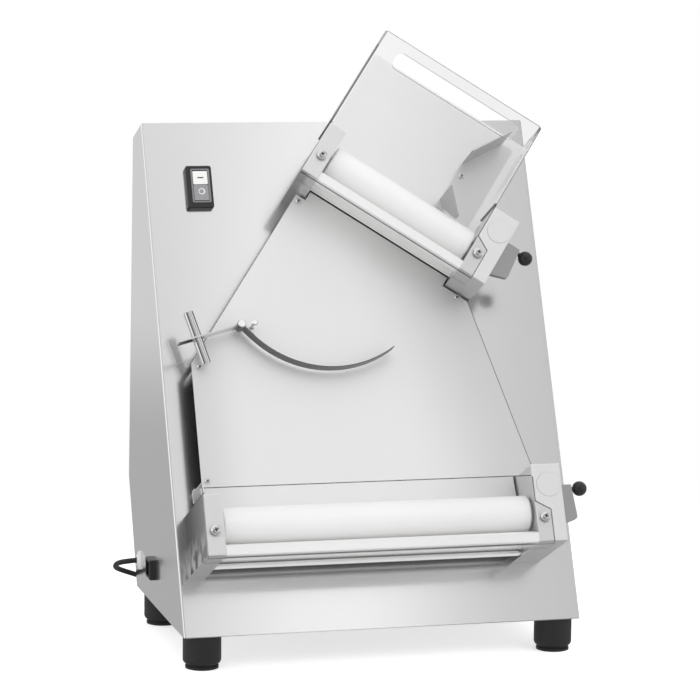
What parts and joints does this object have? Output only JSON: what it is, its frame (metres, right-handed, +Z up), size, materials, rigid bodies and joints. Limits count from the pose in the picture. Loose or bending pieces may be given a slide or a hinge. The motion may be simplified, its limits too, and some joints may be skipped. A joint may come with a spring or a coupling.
{
  "type": "pizza dough roller",
  "caption": "Table top electric dough roller: leaning steel housing, tilted upper and level lower roller pairs, slide plate and balance arm.",
  "frame": {"origin": "centre of the machine's footprint on the floor, cord left out", "axes": "+Z up, -Y towards the person at the front panel, +X to that person's right"},
  "size_m": [0.5322, 0.4754, 0.7579],
  "materials": {
    "housing_steel": "brushed",
    "plate_steel": "brushed",
    "bar_steel": "satin",
    "bright_steel": "polished",
    "blade_steel": "satin",
    "roller_plastic": "fine matte",
    "gear_plastic": "matte",
    "bearing_bronze": "satin",
    "clear_guard": "clear",
    "black_plastic": "satin",
    "grey_plastic": "satin",
    "white_plastic": "satin",
    "foot_rubber": "matte",
    "motor_cast": "cast",
    "pulley_aluminium": "turned"
  },
  "bodies": {
    "housing": {"front_shell": "housing_steel", "back_panel": "housing_steel", "base_plate": "housing_steel", "rubber_feet": "foot_rubber", "switch_housing": "black_plastic", "pedal_socket": "black_plastic", "cable_gland": "grey_plastic", "cord": "foot_rubber", "cord_coil": "foot_rubber", "cord_plug": "black_plastic", "gear_motor": "motor_cast", "lower_belt": "foot_rubber", "countershaft_belt": "foot_rubber", "countershaft_bracket": "bar_steel", "upper_belt": "foot_rubber", "tie_rods": "bar_steel", "scrapers": "black_plastic", "block_caps": "plate_steel", "guard_screws": "bright_steel", "slide_plate": "plate_steel", "plate_posts": "bar_steel", "panel_screws": "bright_steel", "chute_plate": "plate_steel", "dough_guide": "plate_steel", "arm_studs": "bright_steel", "lower_left_block": "plate_steel", "lower_right_block": "plate_steel", "lower_side_plates": "bar_steel", "lower_rear_bearings": "bearing_bronze", "lower_front_bar": "bar_steel", "lower_guard": "clear_guard", "upper_left_block": "plate_steel", "upper_right_block": "plate_steel", "upper_side_plates": "bar_steel", "upper_rear_bearings": "bearing_bronze", "upper_front_bar": "bar_steel", "upper_guard": "clear_guard"},
    "start_press": {"start_button": "white_plastic"},
    "stop_press": {"stop_button": "grey_plastic"},
    "lower_rear_drive": {"lower_rear_roller": "roller_plastic", "lower_rear_gear": "gear_plastic", "lower_roller_pulley": "pulley_aluminium"},
    "lower_carriage": {"lower_bearing_slides": "gear_plastic"},
    "lower_front_drive": {"lower_front_roller": "roller_plastic", "lower_front_gear": "gear_plastic"},
    "lower_lever_arm": {"lower_lever": "bar_steel", "lower_lever_knob": "black_plastic"},
    "upper_rear_drive": {"upper_rear_roller": "roller_plastic", "upper_rear_gear": "gear_plastic", "upper_roller_pulley": "pulley_aluminium"},
    "upper_carriage": {"upper_bearing_slides": "gear_plastic"},
    "upper_front_drive": {"upper_front_roller": "roller_plastic", "upper_front_gear": "gear_plastic"},
    "upper_lever_arm": {"upper_lever": "bar_steel", "upper_lever_knob": "black_plastic"},
    "motor_shaft": {"motor_pulleys": "pulley_aluminium"},
    "counter_shaft": {"countershaft": "bar_steel"},
    "arm": {"balance_arm": "blade_steel", "counterweight": "bright_steel"}
  },
  "joints": [
    {"name": "start_button_travel", "type": "slide", "parent": "housing", "child": "start_press", "axis": [0, 0.9089, -0.4171], "range_m": [0, 0.0025], "stiffness_N_per_m": 400},
    {"name": "stop_button_travel", "type": "slide", "parent": "housing", "child": "stop_press", "axis": [0, 0.9089, -0.4171], "range_m": [0, 0.0025], "stiffness_N_per_m": 400},
    {"name": "lower_rear_spin", "type": "hinge", "parent": "housing", "child": "lower_rear_drive", "pos_m": [-0.018, -0.11995, 0.16206], "axis": [1, 0, 0], "continuous": true},
    {"name": "lower_gap_slide", "type": "slide", "parent": "housing", "child": "lower_carriage", "axis": [0, -0.9089, 0.4171], "range_m": [0, 0.004]},
    {"name": "lower_front_spin", "type": "hinge", "parent": "lower_carriage", "child": "lower_front_drive", "pos_m": [-0.018, -0.16157, 0.18116], "axis": [1, 0, 0], "continuous": true},
    {"name": "lower_lever_turn", "type": "hinge", "parent": "housing", "child": "lower_lever_arm", "pos_m": [0.1943, -0.16315, 0.21368], "axis": [0, -0.9089, 0.4171], "range_deg": [0, 45]},
    {"name": "upper_rear_spin", "type": "hinge", "parent": "housing", "child": "upper_rear_drive", "pos_m": [0.05222, 0.04622, 0.52416], "axis": [0.8192, -0.2392, -0.5213], "continuous": true},
    {"name": "upper_gap_slide", "type": "slide", "parent": "housing", "child": "upper_carriage", "axis": [0, -0.9089, 0.4171], "range_m": [0, 0.004]},
    {"name": "upper_front_spin", "type": "hinge", "parent": "upper_carriage", "child": "upper_front_drive", "pos_m": [0.05222, 0.00459, 0.54326], "axis": [0.8192, -0.2392, -0.5213], "continuous": true},
    {"name": "upper_lever_turn", "type": "hinge", "parent": "housing", "child": "upper_lever_arm", "pos_m": [0.16902, -0.02844, 0.50725], "axis": [0, -0.9089, 0.4171], "range_deg": [0, 45]},
    {"name": "motor_spin", "type": "hinge", "parent": "housing", "child": "motor_shaft", "pos_m": [0.1935, 0.06759, 0.117], "axis": [1, 0, 0], "continuous": true},
    {"name": "countershaft_spin", "type": "hinge", "parent": "housing", "child": "counter_shaft", "pos_m": [0.15138, 0.14832, 0.40091], "axis": [1, 0, 0], "continuous": true},
    {"name": "balance_arm_swing", "type": "hinge", "parent": "housing", "child": "arm", "pos_m": [-0.1557, -0.03415, 0.40369], "axis": [0, -0.9089, 0.4171], "range_deg": [-40, 0]}
  ],
  "couplings": [
    {"joint": "lower_lever_turn", "follows": "lower_gap_slide", "rad_per_m": 196.3},
    {"joint": "upper_lever_turn", "follows": "upper_gap_slide", "rad_per_m": 196.3},
    {"joint": "lower_front_spin", "follows": "lower_rear_spin", "ratio": -1},
    {"joint": "upper_rear_spin", "follows": "lower_rear_spin", "ratio": 1},
    {"joint": "upper_front_spin", "follows": "lower_rear_spin", "ratio": -1},
    {"joint": "motor_spin", "follows": "lower_rear_spin", "ratio": 1.2976},
    {"joint": "countershaft_spin", "follows": "lower_rear_spin", "ratio": 1}
  ]
}
